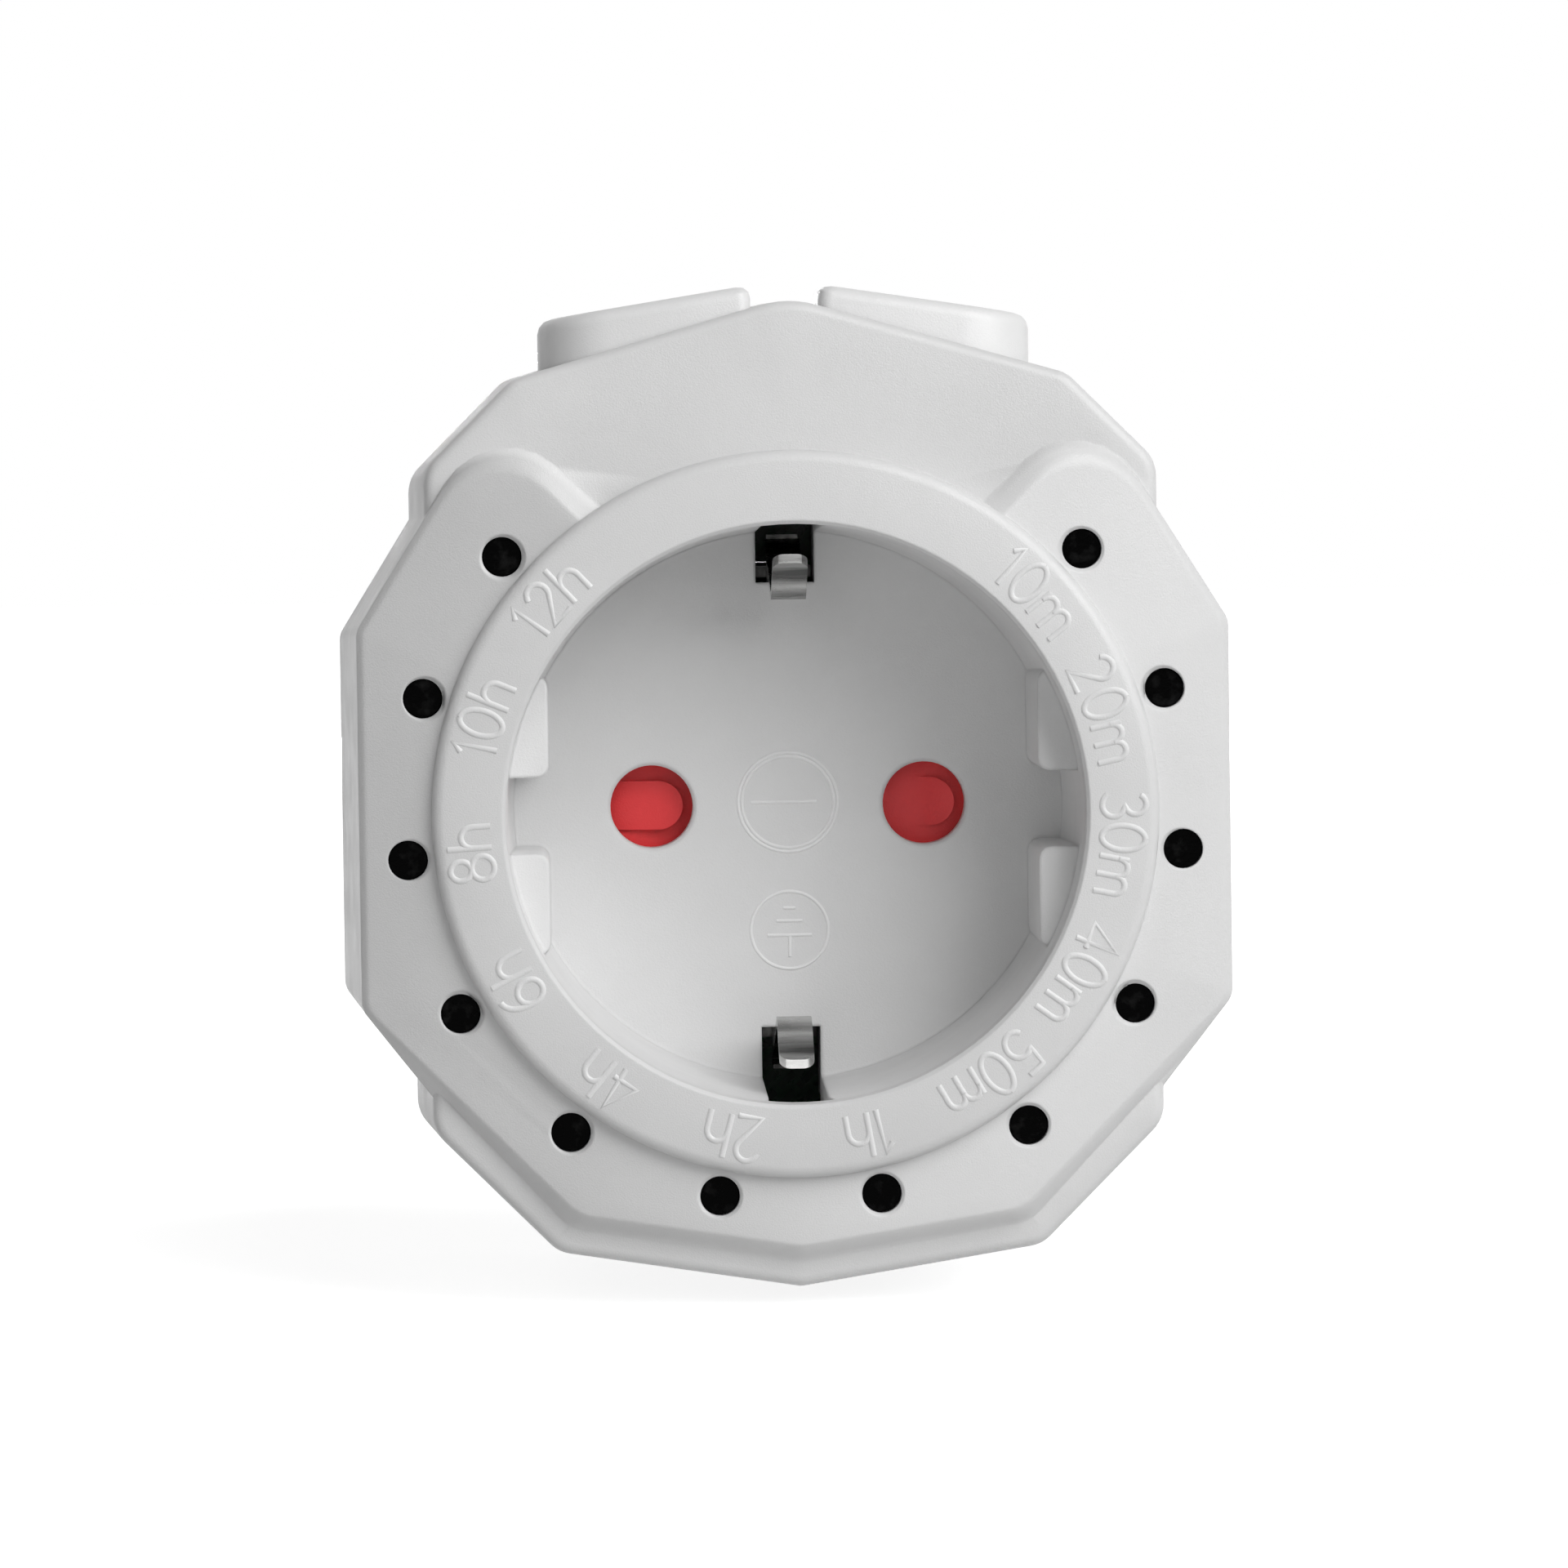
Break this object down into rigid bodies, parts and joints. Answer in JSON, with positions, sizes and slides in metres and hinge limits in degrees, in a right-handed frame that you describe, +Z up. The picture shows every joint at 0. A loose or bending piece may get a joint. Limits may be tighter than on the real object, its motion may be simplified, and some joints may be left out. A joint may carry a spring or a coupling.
{
  "type": "plug in timer switch",
  "caption": "Grey plug-in countdown timer for a round earthed wall socket, with a socket outlet in its front, lamp windows round the outlet and two buttons on top",
  "frame": {"origin": "Middle of the plug's nose face, halfway between the two pin axes", "axes": "+X to the right seen from the front, +Y towards the wall (the way the pins point), +Z up, with the buttons on top"},
  "size_m": [0.0624, 0.082, 0.0694],
  "materials": {
    "shell": "light grey moulded plastic, very fine even texture",
    "button_plastic": "light grey moulded plastic, a little smoother than the housing",
    "smoked": "smoked, nearly black, polished",
    "red_plastic": "red moulded plastic",
    "carrier_plastic": "grey moulded plastic",
    "black_plastic": "black moulded plastic",
    "laminate": "green lacquered board laminate",
    "lamp_body": "white lamp body with a clear lens",
    "ribbon": "grey flexible cable",
    "relay_case": "blue plastic case",
    "film_case": "yellow plastic case",
    "can": "sleeved aluminium can",
    "disc_coat": "blue dipped coating",
    "resistor_coat": "tan dipped coating",
    "nickel": "nickel-plated brass, satin",
    "brass": "plain brass strip",
    "steel": "zinc-plated steel"
  },
  "bodies": {
    "housing": {"front_cover": "shell", "rear_cover": "shell", "socket_insert": "shell", "light_guide": "smoked", "control_pcb": "laminate", "microcontroller": "black_plastic", "key_board": "laminate", "board_header": "black_plastic", "ribbon_cable": "ribbon", "tact_switch_left": "black_plastic", "tact_switch_right": "black_plastic", "shutter_spring": "steel", "contact_carrier": "carrier_plastic", "line_contact": "brass", "neutral_contact": "brass", "earth_strap": "brass", "plug_earth_contact_top": "nickel", "plug_earth_contact_bottom": "nickel", "plug_pin_line": "nickel", "plug_pin_neutral": "nickel", "power_pcb": "laminate", "relay": "relay_case", "film_capacitor": "film_case", "electrolytic_capacitor": "can", "varistor": "disc_coat", "fuse_resistor": "resistor_coat", "screws": "steel", "led_1": "lamp_body", "led_2": "lamp_body", "led_3": "lamp_body", "led_4": "lamp_body", "led_5": "lamp_body", "led_6": "lamp_body", "led_7": "lamp_body", "led_8": "lamp_body", "led_9": "lamp_body", "led_10": "lamp_body", "led_11": "lamp_body", "led_12": "lamp_body"},
    "left_button": {"button_left": "button_plastic"},
    "right_button": {"button_right": "button_plastic"},
    "left_plunger": {"tact_plunger_left": "black_plastic"},
    "right_plunger": {"tact_plunger_right": "black_plastic"},
    "pin_shutter": {"shutter": "red_plastic"},
    "top_clip": {"earth_clip_top": "nickel"},
    "bottom_clip": {"earth_clip_bottom": "nickel"}
  },
  "joints": [
    {"name": "button_left_press", "type": "slide", "parent": "housing", "child": "left_button", "axis": [0, 0, -1], "range_m": [0, 0.0004], "stiffness_N_per_m": 400, "springref_m": -0.004},
    {"name": "button_right_press", "type": "slide", "parent": "housing", "child": "right_button", "axis": [0, 0, -1], "range_m": [0, 0.0004], "stiffness_N_per_m": 400, "springref_m": -0.004},
    {"name": "plunger_left_press", "type": "slide", "parent": "housing", "child": "left_plunger", "axis": [0, 0, -1], "range_m": [0, 0.0004]},
    {"name": "plunger_right_press", "type": "slide", "parent": "housing", "child": "right_plunger", "axis": [0, 0, -1], "range_m": [0, 0.0004]},
    {"name": "shutter_slide", "type": "slide", "parent": "housing", "child": "pin_shutter", "axis": [1, 0, 0], "range_m": [0, 0.006], "stiffness_N_per_m": 80, "springref_m": -0.0125, "deforming": ["shutter_spring"]},
    {"name": "earth_clip_top_flex", "type": "hinge", "parent": "housing", "child": "top_clip", "pos_m": [0, -0.0401, 0.0182], "axis": [-1, 0, 0], "range_deg": [0, 9], "stiffness_Nm_per_rad": 0.4, "springref_deg": -5.73},
    {"name": "earth_clip_bottom_flex", "type": "hinge", "parent": "housing", "child": "bottom_clip", "pos_m": [0, -0.0401, -0.0182], "axis": [1, 0, 0], "range_deg": [0, 9], "stiffness_Nm_per_rad": 0.4, "springref_deg": -5.73}
  ],
  "couplings": [
    {"joint": "plunger_left_press", "follows": "button_left_press", "ratio": 1},
    {"joint": "plunger_right_press", "follows": "button_right_press", "ratio": 1}
  ]
}
